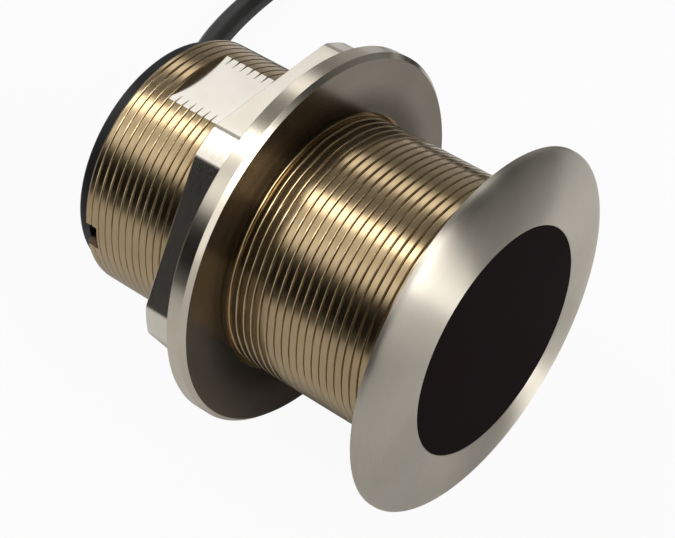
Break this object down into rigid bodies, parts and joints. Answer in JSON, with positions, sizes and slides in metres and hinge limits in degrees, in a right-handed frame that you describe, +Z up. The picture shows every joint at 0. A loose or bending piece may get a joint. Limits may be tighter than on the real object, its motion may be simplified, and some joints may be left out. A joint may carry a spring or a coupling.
{
  "type": "sonar transducer",
  "caption": "Bronze through-hull sonar transducer with a mushroom head, threaded stem, flanged hull nut and coiled cable, for sounding depth from inside a boat's hull.",
  "frame": {"origin": "on the stem's axis, in the plane of the hull seat behind the mushroom flange", "axes": "+X along the stem towards the acoustic face, +Z up as it lies on its side, +Y towards the side where the cable lies"},
  "size_m": [0.1574, 0.3693, 0.0883],
  "materials": {
    "bronze": "machined, satin",
    "nut_bronze": "machined, satin",
    "black_resin": "cast, matt",
    "ceramic": "fired ceramic",
    "cork": "cork and rubber sheet",
    "red_insulation": "smooth",
    "blue_insulation": "smooth",
    "tin": "solder",
    "potting": "poured resin",
    "cable_rubber": "smooth jacket",
    "steel": "satin",
    "tie_plastic": "nylon strap",
    "plug_plastic": "moulded",
    "insert_plastic": "moulded",
    "contact_brass": "gold plated",
    "seal_rubber": "smooth"
  },
  "bodies": {
    "transducer": {"housing": "bronze", "acoustic_window": "black_resin", "piezo_disc": "ceramic", "isolation_ring": "cork", "backing_disc": "cork", "positive_lead": "red_insulation", "negative_lead": "blue_insulation", "solder_joints": "tin", "potting_fill": "potting", "end_cap": "black_resin", "cable_boot": "cable_rubber", "cable_tail": "cable_rubber", "cable_ferrule": "steel", "cable_run": "cable_rubber", "cable_coil": "cable_rubber", "cable_lead": "cable_rubber", "coil_ties": "tie_plastic", "plug_body": "plug_plastic", "plug_shell": "steel", "plug_insert": "insert_plastic", "plug_contacts": "contact_brass", "plug_seal": "seal_rubber"},
    "nut": {"hull_nut": "nut_bronze"}
  },
  "joints": [
    {"name": "nut_travel", "type": "slide", "parent": "transducer", "child": "nut", "axis": [1, 0, 0], "range_m": [-0.028, 0.036]}
  ]
}
